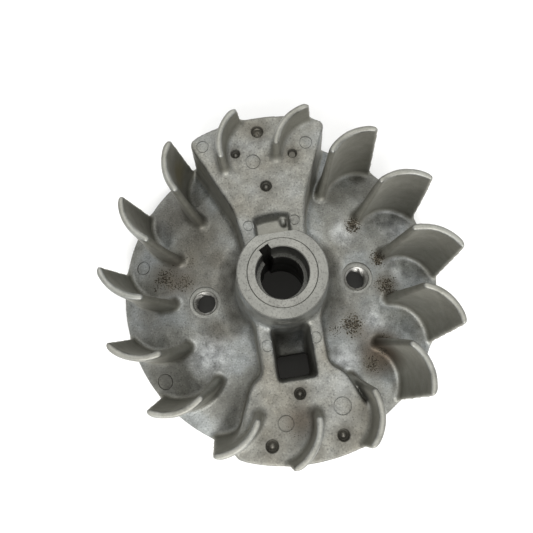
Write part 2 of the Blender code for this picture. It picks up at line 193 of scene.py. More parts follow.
# Locating-pin pits over the inserts: x, y, radius, height of the bump left inside
PITS = (
    (0.2, 47.2, 1.75, 0.5), (-7.5, 41.2, 1.3, 0.8), (9.7, 38.6, 1.3, 0.0), (0.1, 29.6, 1.6, 1.3),
    (-0.2, -32.6, 1.6, 1.4), (-10.3, -45.5, 1.7, 0.8), (9.9, -45.7, 1.6, 0.9))
PIT_DEPTH = 1.4

# Seats of the inserts inside the bosses
GAP = 0.3
MAGNET_SEAT_Z = (8.0, 22.0)
SHOE_OUTER_X = 14.6
SHOE_FACE_X = (9.6, 17.4)
SHOE_TIP_Y = 44.5
SHOE_TIP_DRAW_IN = 1.1
MAGNET_Y = (38.2, 47.4)
WEIGHT_SEAT_Z = (11.7, 22.3)
WEIGHT_INNER_Y = -31.4
WEIGHT_INNER_HALF_WIDTH = 5.0
WEIGHT_OUTER_HALF_WIDTH = 12.6
WEIGHT_OUTER_R = 48.4

# Stained and shiny patches: x, y, z, radius, strength. The tarnish patches partly paint shade, on the
# web left of the magnet boss, and the polish patches partly paint a sheen.
PATCHES = {
    "deposit": (
        (26.6, 17.4, 9, 4.5, 1.0), (33.1, 5.3, 8, 4.5, 0.9), (34.0, -3.8, 8, 6.0, 0.9),
        (20.4, -14.9, 9, 6.0, 0.9), (14.9, -15.5, 10, 4.5, 0.6), (27.6, -28.8, 8, 6.0, 0.5),
        (-36.6, 9.9, 7, 7.5, 0.7), (-31.0, 7.5, 9, 5.0, 0.8), (-27.8, 14.5, 9, 4.0, 0.7),
        (29.6, -22.8, 7, 5.0, 0.9), (24.5, -28.3, 8, 4.5, 0.8), (-2.9, -42.8, 26, 6.0, 0.35),
        (14.2, -41.0, 26, 5.0, 0.4), (0.2, 47.2, 26, 3.8, 0.45)),
    "tarnish_and_shade": (
        (-23.0, 9.0, 12, 15.0, 0.75), (-17.0, -5.0, 12, 7.0, 0.6), (17.0, -8.0, 12, 7.0, 0.4),
        (-31.0, 30.0, 7, 11.0, 0.8), (22.0, 8.0, 10, 9.0, 0.35), (-1.5, -39.7, 26, 7.0, 0.9),
        (28.0, -25.0, 8, 9.0, 0.8), (-20.0, -34.0, 6, 8.0, 0.3), (-22.0, -9.5, 11, 8.0, 0.9),
        (19.5, -9.0, 10, 9.0, 0.7), (-24.0, 20.0, 9, 12.0, 0.9), (-27.0, 1.0, 9, 9.0, 0.5),
        (-19.7, 13.2, 9, 9.0, 0.95), (-22.5, 29.3, 8, 8.0, 0.5)),
    "rust": (
        (28.5, -24.5, 8, 9.0, 1.0), (24.0, -18.0, 9, 5.0, 0.5), (34.0, -4.0, 8, 5.0, 0.4),
        (-34.0, 9.0, 8, 8.0, 0.5), (-1.5, -39.7, 26, 6.0, 0.5)),
    "polish_and_sheen": (
        (40.2, 18.8, 7, 8.0, 1.0), (40.2, 3.0, 7, 8.5, 1.0), (-26.0, -17.0, 8, 9.0, 1.0),
        (16.2, -26.0, 8, 6.5, 1.0), (23.9, 15.5, 9, 6.0, 0.8), (28.0, -14.2, 8, 6.0, 0.8)),
    "oil": ((-24.0, 39.7, 20, 5.5, 0.8),),
}

# Paint of the skin: how far creases and edges are felt for, and where the brown film lies
CREASE_PROBE = 2.4
EDGE_PROBE = 0.7
CREST_BAND = 1.5
BLADE_FILM_REACH = 1.2
FOOT_FILM_REACH = 5.0
FOOT_FILM_TOP_Z = 16.0
PIT_STAIN_REACH = 3.0
PIT_STAIN = 0.85

# Grid of the distance field, and the share of its triangles that is kept
STEP = 0.5
MARGIN = 1.4
KEPT_SHARE = 0.42
XS = np.arange(-OUTER_R - MARGIN, OUTER_R + MARGIN, STEP, dtype=np.float32)
ZS = np.arange(-MARGIN, HEIGHT + MARGIN + STEP, STEP, dtype=np.float32)

# Floor, and a dark disc on it, hidden under the wheel, that paints the shade seen through the wheel's
# holes
FLOOR_HALF_SIZE = 900
FLOOR_Z = -0.05
HOLE_SHADE_Z = -0.03
HOLE_SHADE_R = 44.0

# Camera of the photograph's view: place, its right and backward directions, and focal length
# for a 36 mm sensor
CAMERA_PLACE = (-6.622, -25.759, 193.179)
CAMERA_RIGHT = (0.98692, -0.16073, -0.01257)
CAMERA_BACK = (-0.01709, -0.18186, 0.98317)
CAMERA_LENS = 38.85


# ---------------------------------------------------------------- distance fields

def rounded_join(a, b, radius):
    """Union of two distance fields, with a fillet of that radius in the crease."""
    fillet = np.hypot(np.maximum(radius - a, 0.0), np.maximum(radius - b, 0.0))
    return np.maximum(radius, np.minimum(a, b)) - fillet


def rounded_overlap(a, b, radius):
    """Intersection of two distance fields, with its edge rounded to that radius."""
    return -rounded_join(-a, -b, radius)


def outline_distance(x, y, outline):
    """Signed distance to a closed outline, negative inside."""
    nearest = np.inf
    inside = np.zeros(np.broadcast(x, y).shape, bool)
    for (x0, y0), (x1, y1) in zip(outline, outline[1:] + outline[:1]):
        dx, dy = x1 - x0, y1 - y0
        along = np.clip(((x - x0) * dx + (y - y0) * dy) / (dx * dx + dy * dy), 0.0, 1.0)
        nearest = np.minimum(nearest, np.hypot(x - x0 - along * dx, y - y0 - along * dy))
        if dy:
            inside ^= ((y0 > y) != (y1 > y)) & (x < x0 + (y - y0) * dx / dy)
    return np.where(inside, -nearest, nearest)


def polar(radius, angle):
    return (radius * math.cos(math.radians(angle)), radius * math.sin(math.radians(angle)))


def arc(radius, start, end, count):
    """Points on a circle round the crankshaft axis."""
    return [polar(radius, start + (end - start) * i / (count - 1)) for i in range(count)]


def rounded_corner(before, corner, after, radius, count=8):
    """A quadratic curve that replaces a sharp corner."""
    corner, before, after = Vector(corner), Vector(before), Vector(after)
    first = corner + (before - corner).normalized() * radius
    last = corner + (after - corner).normalized() * radius
    points = []
    for i in range(count):
        t = i / (count - 1)
        points.append(tuple(first * (1 - t) ** 2 + corner * 2 * t * (1 - t) + last * t ** 2))
    return points


def mirrored(half):
    """A right-hand half outline, inner end first, closed by its reflection in the Y axis."""
    return list(half) + [(-x, y) for x, y in reversed(half)]


# ---------------------------------------------------------------- cast body

def body_profile():
    """Radius and height round the hub flank, its flare, the coned web, the lip and the rear."""
    flare = []
    for i in range(25):
        turn = math.radians(90.0 * i / 24)
        flare.append((WEB_ROOT_R - (WEB_ROOT_R - HUB_FOOT_R) * math.cos(turn),
                      HUB_FOOT_Z - (HUB_FOOT_Z - WEB_ROOT_Z) * math.sin(turn)))
    past = 4.0
    spare = MARGIN / 2
    lip_r = OUTER_R - RIM_LIP
    return [
        (-past, HEIGHT + spare), (HUB_TOP_R, HEIGHT + spare), (HUB_TOP_R, HEIGHT - 1.0), *flare,
        WEB_MIDDLE, (OUTER_R - RIM_EDGE, RIM_TOP_Z), (OUTER_R + past, RIM_TOP_Z - RIM_FALL),
        (OUTER_R + past, -past), (lip_r, -past), (lip_r, LIP_Z),
        (UNDERSIDE_R, UNDERSIDE_Z), REAR_HUB_FOOT,
        (REAR_HUB_R, -past), (-past, -past)]


def body_distance(x, y, z):
    """The turned shape, looked up in a table of radius by height."""
    radii = np.arange(0.0, 1.5 * (OUTER_R + MARGIN), STEP / 2)
    table = outline_distance(radii[:, None], z.reshape(1, -1), body_profile())
    radius = np.hypot(x, y)[:, :, 0]
    layers = [np.interp(radius, radii, table[:, k]) for k in range(table.shape[1])]
    return np.stack(layers, axis=2).astype(np.float32)


def boss_rim(shoulder, corner, edge):
    """Rounded outer corner of a boss, then its rim past the finished outside."""
    tangent = tuple(Vector(corner) + Vector(polar(10.0, edge + 90.0)))
    rim = arc(OUTER_R + 2.0, edge + 6.0, 90.0, 12)[:-1]
    return rounded_corner(shoulder, corner, tangent, BOSS_CORNER) + rim


def magnet_boss_distance(x, y, z):
    edge = 90.0 - BOSS_HALF_ANGLE
    shoulder, corner = polar(SHOULDER_R, edge), polar(OUTER_R, edge)
    foot, waist = (NECK_ROOT_HALF_WIDTH, BOSS_FOOT_Y), (NECK_HALF_WIDTH, NECK_WAIST_Y)
    half = [foot, *rounded_corner(foot, waist, shoulder, NECK_ROUNDING),
            *rounded_corner(waist, shoulder, corner, NECK_ROUNDING), *boss_rim(shoulder, corner, edge)]
    return boss_distance(outline_distance(x, y, mirrored(half)), z)


def weight_boss_distance(x, y, z):
    edge = 90.0 - BOSS_HALF_ANGLE
    shoulder = tuple(Vector(polar(RIB_SHOULDER_R, edge)) + Vector((RIB_SHOULDER_SHIFT, 0.0)))
    foot, inner = (RIB_HALF_WIDTH, BOSS_FOOT_Y), (RIB_HALF_WIDTH, RIB_END_Y)
    slot_foot, slot_end = (SLOT_HALF_WIDTH, BOSS_FOOT_Y), (SLOT_HALF_WIDTH, SLOT_END_Y)
    half = [*rounded_corner((0.0, SLOT_END_Y), slot_end, slot_foot, SLOT_CORNER), slot_foot, foot,
            *rounded_corner(foot, inner, RIB_STEP, RIB_END_ROUNDING),
            *rounded_corner(inner, RIB_STEP, shoulder, RIB_STEP_ROUNDING),
            shoulder, *boss_rim(shoulder, polar(OUTER_R, edge), edge)]
    return boss_distance(outline_distance(x, -y, mirrored(half)), z)


def boss_distance(flank, z):
    """A flat-topped boss whose flank leans out by the draft towards the rear."""
    flank = flank - BOSS_DRAFT * (PLATEAU_Z - z) / PLATEAU_Z
    return rounded_overlap(flank, z - PLATEAU_Z, BOSS_EDGE_ROUNDING)


def blade_distance(x, y, z, angle):
    """An arc wall, thinner and a little further round at the top, with a rounded crest."""
    cosine, sine = math.cos(math.radians(angle)), math.sin(math.radians(angle))
    x, y = cosine * x + sine * y, cosine * y - sine * x
    up = np.clip((z - BLADE_ROOT_Z) / (BLADE_TOP_Z - BLADE_ROOT_Z), -0.1, 1.0)
    at = {key: BLADE_BASE_ARC[key] + (BLADE_TOP_ARC[key] - BLADE_BASE_ARC[key]) * up
          for key in BLADE_BASE_ARC}
    swing = np.arctan2(y - at["y"], x - at["x"])
    swing = np.clip(swing, np.radians(at["outer"]), np.radians(at["inner"]))
    off = np.hypot(x - at["x"] - at["r"] * np.cos(swing), y - at["y"] - at["r"] * np.sin(swing))
    thickness = BLADE_BASE_THICKNESS + (BLADE_TOP_THICKNESS - BLADE_BASE_THICKNESS) * up
    return rounded_overlap(off - thickness / 2, z - BLADE_TOP_Z, BLADE_CREST_ROUNDING)


def bolt_boss_distance(x, y, z):
    """Rear bosses round the tapped holes."""
    off = np.hypot(np.abs(x) - BOLT_CIRCLE_R, y) - BOLT_BOSS_R
    return rounded_overlap(off, z - BOLT_BOSS_TOP_Z, REAR_EDGE_ROUNDING)


def rear_rib_distance(x, y, z):
    """Short ribs between the rear hub and the rear bolt bosses."""
    across = np.abs(y) - REAR_RIB_HALF_WIDTH
    along = np.abs(np.abs(x) - REAR_RIB_MIDDLE_X) - REAR_RIB_HALF_LENGTH
    side = rounded_overlap(across, along, REAR_EDGE_ROUNDING)
    return np.maximum(side, z - REAR_RIB_TOP_Z)


def window_distance(x, y, z):
    half = WINDOW_HALF_WIDTH
    low, high = WINDOW_Y
    corners = [(half, low), (half, high), (-half, high), (-half, low)]
    outline = []
    for i, corner in enumerate(corners):
        outline += rounded_corner(corners[i - 1], corner, corners[(i + 1) % 4], WINDOW_CORNER)
    return outline_distance(x, y, outline) + 0.0 * z


def pocket_distance(x, y, z):
    """Shallow pocket against the hub whose far wall slopes up to the plateau."""
    depth = PLATEAU_Z - z
    ends = np.abs(x) - POCKET_HALF_WIDTH + POCKET_SIDE_LEAN * depth
    far_wall = (np.hypot(x, y) - POCKET_END_R + POCKET_WALL_LEAN * depth) / POCKET_WALL_STRETCH
    floor_and_hub = np.maximum(depth - POCKET_DEPTH, POCKET_NEAR_Y - y)
    hollow = np.maximum(np.maximum(ends, far_wall), floor_and_hub)
    bump = [given - middle for given, middle in zip((x, y, z), POCKET_BUMP)]
    lump = np.sqrt(bump[0] ** 2 + (0.7 * bump[1]) ** 2 + bump[2] ** 2) - POCKET_BUMP_R
    return rounded_overlap(hollow, -lump, 0.3)


def unevenness(x, y, z):
    """Slow waves of a worn casting skin, about a twentieth of a millimetre high."""
    waves = 0.0
    chance = np.random.default_rng(7)
    for _ in range(7):
        pull = chance.normal(size=3)
        pull *= math.tau / chance.uniform(4.0, 13.0) / np.linalg.norm(pull)
        waves = waves + np.sin(pull[0] * x + pull[1] * y + pull[2] * z + chance.uniform(0, math.tau))
    return 0.018 * waves


def apply_feature(field, operation, distance, radius, low, high):
    """Join or overlap one feature in the part of the grid between two x and y corners."""
    first = [max(int((low[i] - XS[0]) / STEP), 0) for i in (0, 1)]
    last = [int((high[i] - XS[0]) / STEP) + 2 for i in (0, 1)]
    block = np.s_[first[0]:last[0], first[1]:last[1], :]
    x = XS[first[0]:last[0]][:, None, None]
    y = XS[first[1]:last[1]][None, :, None]
    field[block] = operation(field[block], distance(x, y, ZS[None, None, :]), radius)


def casting_field():
    """Distance field of the casting before machining."""
    x, y, z = XS[:, None, None], XS[None, :, None], ZS[None, None, :]
    edge = OUTER_R + MARGIN
    field = body_distance(x, y, z)
    apply_feature(field, rounded_join, magnet_boss_distance, BOSS_FILLET, (-26, 5), (26, edge))
    apply_feature(field, rounded_join, weight_boss_distance, BOSS_FILLET, (-26, -edge), (26, -5))
    apply_feature(field, rounded_join, bolt_boss_distance, 1.0, (-35, -10), (35, 10))
    apply_feature(field, rounded_join, rear_rib_distance, 0.8, (-25, -5), (25, 5))
    for number in range(BLADE_COUNT):
        angle = BLADE_PITCH * number
        reach = [polar(r, angle + turn) for r in (28.0, OUTER_R + 2.0) for turn in (-9, 4, 19)]
        low = [min(p[i] for p in reach) - 3.0 for i in (0, 1)]
        high = [max(p[i] for p in reach) + 3.0 for i in (0, 1)]
        apply_feature(field, rounded_join, lambda x, y, z: blade_distance(x, y, z, angle),
                      BLADE_FILLET, low, high)
    field += unevenness(x, y, z)

    def not_window(x, y, z):
        return -window_distance(x, y, z)

    def not_pocket(x, y, z):
        return -pocket_distance(x, y, z)

    apply_feature(field, rounded_overlap, not_window, 0.5, (-8, -31), (8, -13))
    apply_feature(field, rounded_overlap, not_pocket, 0.4, (-8, 11), (8, 24))
    field = rounded_overlap(field, np.hypot(x, y) - OUTER_R, 0.4)
    return rounded_overlap(field, -z, 0.35)


def net_surface(field):
    """Vertices and quads of the zero surface, with one vertex in each cell that it crosses."""
    inside = field < 0.0
    cells = tuple(n - 1 for n in field.shape)

    def at(values, offset):
        return values[tuple(slice(o, o + n) for o, n in zip(offset, cells))]

    corners = [(i, j, k) for i in (0, 1) for j in (0, 1) for k in (0, 1)]
    count = sum(at(inside, corner).astype(np.int8) for corner in corners)
    mixed = (count > 0) & (count < 8)
    where = np.argwhere(mixed)
    number = np.full(cells, -1, np.int32)
    number[mixed] = np.arange(len(where))
    total = np.zeros((len(where), 3))
    crossings = np.zeros(len(where))
    for corner in corners:
        for axis in range(3):
            if corner[axis]:
                continue
            other = tuple(c + (n == axis) for n, c in enumerate(corner))
            start, end = at(field, corner)[mixed], at(field, other)[mixed]
            crossed = (start < 0.0) != (end < 0.0)
            places = np.tile(np.array(corner, float), (len(where), 1))
            places[:, axis] += start / np.where(crossed, start - end, 1.0)
            total[crossed] += places[crossed]
            crossings += crossed
    vertices = (where + total / crossings[:, None]) * STEP + [XS[0], XS[0], ZS[0]]
    quads = []
    for axis in range(3):
        u, v = (axis + 1) % 3, (axis + 2) % 3
        span = [slice(1, -1)] * 3
        span[axis] = slice(0, -1)
        first = inside[tuple(span)]
        span[axis] = slice(1, None)
        second = inside[tuple(span)]
        place = np.argwhere(first != second)
        leaving = first[first != second]
        place[:, u] += 1
        place[:, v] += 1
        ring = []
        for du, dv in ((1, 1), (0, 1), (0, 0), (1, 0)):
            cell = place.copy()
            cell[:, u] -= du
            cell[:, v] -= dv
            ring.append(number[tuple(cell.T)])
        ring = np.stack(ring, axis=1)
        quads.append(np.where(leaving[:, None], ring, ring[:, ::-1]))
    return vertices, np.concatenate(quads)


# ---------------------------------------------------------------- mesh helpers

def mesh_from(name, vertices, faces):
    mesh = bpy.data.meshes.new(name)
    mesh.from_pydata([(x * MM, y * MM, z * MM) for x, y, z in vertices], [], faces)
    mesh.update()
    return mesh


def add_object(name, mesh):
    made = bpy.data.objects.new(name, mesh)
    bpy.context.scene.collection.objects.link(made)
    return made


def turned(name, profile, steps, place=(0.0, 0.0, 0.0)):
    """A closed profile of (radius, height), anticlockwise, turned round an upright axis."""
    count = len(profile)
    vertices = []
    for step in range(steps):
        for radius, height in profile:
            x, y = polar(radius, 360.0 * step / steps)
            vertices.append((x + place[0], y + place[1], height + place[2]))
    faces = []
    for step in range(steps):
        here, there = step * count, (step + 1) % steps * count
        for i in range(count):
            j = (i + 1) % count
            if profile[i][0] or profile[j][0]:
                faces.append((here + i, there + i, there + j, here + j))
    mesh = mesh_from(name, vertices, faces)
    shell = bmesh.new()
    shell.from_mesh(mesh)
    bmesh.ops.remove_doubles(shell, verts=shell.verts, dist=0.00001 * MM)
    bmesh.ops.dissolve_degenerate(shell, edges=shell.edges, dist=0.00001 * MM)
    bmesh.ops.recalc_face_normals(shell, faces=shell.faces)
    shell.to_mesh(mesh)
    shell.free()
    return mesh


def prism(name, outline, low, high):
    """An upright prism on a flat outline."""
    count = len(outline)
    vertices = [(x, y, low) for x, y in outline] + [(x, y, high) for x, y in outline]
    faces = [tuple(range(count)), tuple(range(count, 2 * count))]
    faces += [(i, (i + 1) % count, (i + 1) % count + count, i + count) for i in range(count)]
    mesh = mesh_from(name, vertices, faces)
    shell = bmesh.new()
    shell.from_mesh(mesh)
    bmesh.ops.recalc_face_normals(shell, faces=shell.faces)
    shell.to_mesh(mesh)
    shell.free()
    return mesh


def bake_modifiers(target):
    """Replace an object's mesh by what its modifiers make of it."""
    bpy.context.view_layer.update()
    evaluated = target.evaluated_get(bpy.context.evaluated_depsgraph_get())
    done = bpy.data.meshes.new_from_object(evaluated)
    target.modifiers.clear()
    target.data = done


def soften(target):
    """Level the steps of the grid out of the surface."""
    softer = target.modifiers.new("soft", "SMOOTH")
    softer.factor = 0.5
    softer.iterations = 2
    bake_modifiers(target)


def thin_out(target, share):
    """Collapse edges where the surface is nearly flat, until that share of triangles is left."""
    thinner = target.modifiers.new("thin", "DECIMATE")
    thinner.ratio = share
    bake_modifiers(target)


def cut_with(target, cutters):
    """Cut several closed meshes out of the target, then bake and remove the helpers."""
    group = bpy.data.collections.new(target.name + "_cuts")
    for mesh in cutters:
        group.objects.link(bpy.data.objects.new(mesh.name, mesh))
    bpy.context.scene.collection.children.link(group)
    cut = target.modifiers.new("cut", "BOOLEAN")
    cut.operation = "DIFFERENCE"
    cut.operand_type = "COLLECTION"
    cut.collection = group
    cut.solver = "EXACT"
    bake_modifiers(target)
    for helper in list(group.objects):
        bpy.data.objects.remove(helper, do_unlink=True)
    bpy.data.collections.remove(group)


# ---------------------------------------------------------------- cuts in the casting

def hub_face_cutter():
    """Removes what stands over the hub face, and the chamfer round it."""
    face = HEIGHT
    reach = HUB_TOP_R + 1.0
    return turned("hub_face", [
        (0.0, face), (HUB_TOP_R - HUB_CHAMFER, face), (HUB_TOP_R, face - HUB_CHAMFER),
        (reach, face - HUB_CHAMFER - 1.0), (reach, face + 6.0), (0.0, face + 6.0)], 160)


def bush_seat_cutter():
    wall = BUSH_R + SEAM
    collar = COLLAR_R + SEAM
    low, high = COLLAR_Z
    return turned("bush_seat", [
        (0.0, -2.0), (wall, -2.0), (wall, low - SEAM), (collar, low - SEAM),
        (collar, high + SEAM), (wall, high + SEAM), (wall, HEIGHT - 0.12),
        (wall + 0.12, HEIGHT), (wall + 0.12, HEIGHT + 2.0), (0.0, HEIGHT + 2.0)], 128)


def thread_cutter(side):
    """A closed column whose radius follows the thread, its countersunk mouth and the spot face."""
    around, rows_per_turn = 48, 8
    low = -1.0
    rows = int((SPOT_FACE_Z - low) / THREAD_PITCH * rows_per_turn)
    rings = []
    for row in range(rows + 1):
        height = low + (SPOT_FACE_Z - low) * row / rows
        mouth = THREAD_MAJOR_R + MOUTH_EXTRA_R + (height - SPOT_FACE_Z) * MOUTH_SLOPE
        radii = []
        for step in range(around):
            ridge = abs(2.0 * ((height / THREAD_PITCH - step / around) % 1.0) - 1.0)
            thread = THREAD_MINOR_R + (THREAD_MAJOR_R - THREAD_MINOR_R) * min(ridge * 1.15, 1.0)
            radii.append(max(thread, mouth))
        rings.append((height, radii))
    rings.append((SPOT_FACE_Z, [SPOT_FACE_R] * around))
    rings.append((SPOT_FACE_Z + 8.0, [SPOT_FACE_R + 0.3] * around))
    vertices = []
    for height, radii in rings:
        for step, radius in enumerate(radii):
            x, y = polar(radius, 360.0 * step / around)
            vertices.append((side * BOLT_CIRCLE_R + x, y, height))
    last = (len(rings) - 1) * around
    faces = [tuple(reversed(range(around))), tuple(range(last, last + around))]
    for here in range(0, last, around):
        for step in range(around):
            following = (step + 1) % around
            faces.append((here + step, here + following, here + around + following,
                          here + around + step))
    return mesh_from("thread", vertices, faces)


def mark_profile(radius):
    """A shallow disc with a finer groove round it, left by an ejector pin."""
    return [(0.0, -0.1), (radius - 0.28, -0.1), (radius - 0.2, -0.34), (radius, -0.34),
            (radius + 0.12, 0.5), (0.0, 0.5)]


def mark_cutters():
    cutters = []
    for x, y, radius in PLATEAU_MARKS:
        cutters.append(turned("mark", mark_profile(radius), 56, (x, y, PLATEAU_Z)))
    fall = (WEB_MIDDLE[1] - RIM_TOP_Z) / (OUTER_R - RIM_EDGE - WEB_MIDDLE[0])
    for x, y, radius in WEB_MARKS:
        mesh = turned("mark", mark_profile(radius), 56)
        off = math.hypot(x, y)
        lean = Matrix.Rotation(math.atan(fall), 4, Vector((-y, x, 0.0)))
        height = WEB_MIDDLE[1] - (off - WEB_MIDDLE[0]) * fall
        mesh.transform(Matrix.Translation(Vector((x, y, height)) * MM) @ lean)
        cutters.append(mesh)
    return cutters


def pit_cutters():
    """Round pits with an eased mouth, most with a bump of cast metal left in the middle."""
    cutters = []
    for x, y, radius, bump in PITS:
        floor = -PIT_DEPTH
        crest = radius * 0.42
        profile = [(0.0, floor + bump * 0.8), (crest * 0.6, floor + bump * 0.7),
                   (crest, floor + bump * 0.5), (radius * 0.75, floor),
                   (radius * 0.9, floor + 0.2), (radius, -0.3), (radius + 0.3, 0.05),
                   (radius + 0.3, 0.8), (0.0, 0.8)]
        cutters.append(turned("pit", profile, 40, (x, y, PLATEAU_Z)))
    return cutters


def insert_seat_cutters():
    """Cavities that the magnet with its pole shoes and the counterweight slug sit in."""
    low_angle = math.degrees(math.acos((SHOE_FACE_X[1] + GAP) / OUTER_R))
    high_angle = math.degrees(math.acos((SHOE_FACE_X[0] - GAP) / OUTER_R))
    half = [(SHOE_OUTER_X + GAP, MAGNET_Y[0] - GAP), (SHOE_FACE_X[1] + GAP, SHOE_TIP_Y),
            *arc(OUTER_R + 4.0 * GAP, low_angle, high_angle, 5),
            (SHOE_FACE_X[0] - SHOE_TIP_DRAW_IN, MAGNET_Y[1] + GAP)]
    magnet = prism("magnet_seat", mirrored(half), *MAGNET_SEAT_Z)
    radius = WEIGHT_OUTER_R + GAP
    reach = math.degrees(math.asin((WEIGHT_OUTER_HALF_WIDTH + GAP) / radius))
    inner = WEIGHT_INNER_HALF_WIDTH + GAP
    top = WEIGHT_INNER_Y + GAP
    outline = [(-inner, top), *arc(radius, 270.0 - reach, 270.0 + reach, 7), (inner, top)]
    return [magnet, prism("weight_seat", outline, *WEIGHT_SEAT_Z)]


def sampled(field, x, y, z):
    """Field values between the grid points, by linear interpolation."""
    cells, parts = [], []
    for values, start, count in zip((x, y, z), (XS[0], XS[0], ZS[0]), field.shape):
        place = np.clip((values - start) / STEP, 0.0, count - 1.001)
        cells.append(place.astype(int))
        parts.append(place - cells[-1])
    total = 0.0
    for corner in np.ndindex(2, 2, 2):
        weight = 1.0
        for part, high in zip(parts, corner):
            weight = weight * (part if high else 1.0 - part)
        total = total + weight * field[tuple(cell + high for cell, high in zip(cells, corner))]
    return total


def vertex_places(mesh):
    """Vertex coordinates in millimetres, as three arrays."""
    places = np.empty(len(mesh.vertices) * 3)
    mesh.vertices.foreach_get("co", places)
    return places.reshape(-1, 3).T / MM


def shade_by_field(mesh, field):
    """Shade the cast skin by the slope of its distance field; cut faces keep their own shading."""
    x, y, z = vertex_places(mesh)
    reach = 0.4
    slope = np.stack([
        sampled(field, x + reach, y, z) - sampled(field, x - reach, y, z),
        sampled(field, x, y + reach, z) - sampled(field, x, y - reach, z),
        sampled(field, x, y, z + reach) - sampled(field, x, y, z - reach)], axis=1)
    slope /= np.linalg.norm(slope, axis=1)[:, None]
    near_skin = np.clip(2.0 - 8.0 * np.abs(sampled(field, x, y, z)), 0.0, 1.0)
    vertex = np.empty(len(mesh.loops), np.int32)
    mesh.loops.foreach_get("vertex_index", vertex)
    shading = np.empty(len(mesh.loops) * 3)
    mesh.corner_normals.foreach_get("vector", shading)
    shading = shading.reshape(-1, 3)
    agreement = (slope[vertex] * shading).sum(axis=1)
    share = near_skin[vertex] * np.clip((agreement - 0.9) / 0.06, 0.0, 1.0)
    shading += share[:, None] * (slope[vertex] - shading)
    mesh.normals_split_custom_set(shading.tolist())


def make_casting(field):
    vertices, quads = net_surface(field)
    casting = add_object("cast_flywheel", mesh_from("cast_flywheel", vertices, quads.tolist()))
    soften(casting)
    thin_out(casting, KEPT_SHARE)
    cut_with(casting, [
        hub_face_cutter(), bush_seat_cutter(), thread_cutter(-1), thread_cutter(1),
        *mark_cutters(), *pit_cutters(), *insert_seat_cutters()])
    casting.data.shade_smooth()
    casting.data.set_sharp_from_angle(angle=math.radians(38.0))
    shade_by_field(casting.data, field)
    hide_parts("flywheel_casting")
    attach(casting, "root")
    return casting


# ---------------------------------------------------------------- bush

def make_bush():
    shoulder = HEIGHT - COUNTERBORE_DEPTH
    ease = 0.15
    low, high = COLLAR_Z
    profile = [
        (TAPER_LARGE_R, 0.0), (BUSH_R - ease, 0.0), (BUSH_R, ease), (BUSH_R, low),
        (COLLAR_R, low), (COLLAR_R, high), (BUSH_R, high), (BUSH_R, HEIGHT - ease),
        (BUSH_R - ease, HEIGHT), (COUNTERBORE_R + 0.25, HEIGHT), (COUNTERBORE_R, HEIGHT - 0.3),
        (COUNTERBORE_R, shoulder), (TAPER_SMALL_R + 0.2, shoulder),
        (TAPER_SMALL_R + 0.01, shoulder - 0.2)]
    bush = add_object("turned_bush", turned("turned_bush", profile, 128))
    half = KEYWAY_WIDTH / 2
    outline = [(KEYWAY_START, -half), (KEYWAY_REACH, -half), (KEYWAY_REACH, half),
               (KEYWAY_START, half)]
    slot = prism("keyway", outline, -1.0, HEIGHT + 1.0)
    slot.transform(Matrix.Rotation(math.radians(KEYWAY_ANGLE), 4, "Z"))
    cut_with(bush, [slot])
    bush.data.shade_smooth()
    bush.data.set_sharp_from_angle(angle=math.radians(30.0))
    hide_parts("hub_bush")
    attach(bush, "root")
    return bush


# ---------------------------------------------------------------- materials

def new_material(name):
    made = bpy.data.materials.new(name)
    made.use_nodes = True
    return made, made.node_tree.nodes, made.node_tree.links


def add_noise(nodes, links, scale, detail, coordinates):
    noise = nodes.new("ShaderNodeTexNoise")
    noise.inputs["Scale"].default_value = scale
    noise.inputs["Detail"].default_value = detail
    links.new(coordinates, noise.inputs["Vector"])
    return noise.outputs["Fac"]


def add_ramp(nodes, links, value, stops):
    """A colour ramp from a list of (position, colour or grey)."""
    ramp = nodes.new("ShaderNodeValToRGB")
    elements = ramp.color_ramp.elements
    while len(elements) < len(stops):
        elements.new(0.5)
    for element, (position, colour) in zip(elements, stops):
        element.position = position
        shade = (colour,) * 3 if isinstance(colour, float) else colour
        element.color = (*shade, 1.0)
    links.new(value, ramp.inputs["Fac"])
    return ramp.outputs["Color"]


def add_mix(nodes, links, factor, first, second, blend="MIX"):
    """Mix two colours; each of the three may be a socket or a constant."""
    mix = nodes.new("ShaderNodeMix")
    mix.data_type = "RGBA"
    mix.blend_type = blend
    for name, given in (("Factor_Float", factor), ("A_Color", first), ("B_Color", second)):
        socket = next(s for s in mix.inputs if s.identifier == name)
        if isinstance(given, bpy.types.NodeSocket):
            links.new(given, socket)
        elif isinstance(given, float):
            socket.default_value = given
        else:
            socket.default_value = (*given, 1.0)
    return next(s for s in mix.outputs if s.identifier == "Result_Color")


def add_math(nodes, links, operation, first, second, clamp=True):
    node = nodes.new("ShaderNodeMath")
    node.operation = operation
    node.use_clamp = clamp
    for socket, given in zip(node.inputs, (first, second)):
        if isinstance(given, bpy.types.NodeSocket):
            links.new(given, socket)
        else:
            socket.default_value = given
    return node.outputs["Value"]


def add_bump(nodes, links, height, strength, distance, under=None):
    bump = nodes.new("ShaderNodeBump")
    bump.inputs["Strength"].default_value = strength
    bump.inputs["Distance"].default_value = distance * MM
    links.new(height, bump.inputs["Height"])
    if under is not None:
        links.new(under, bump.inputs["Normal"])
    return bump.outputs["Normal"]


def add_attribute(nodes, name):
    node = nodes.new("ShaderNodeAttribute")
    node.attribute_name = name
    return node.outputs["Fac"]


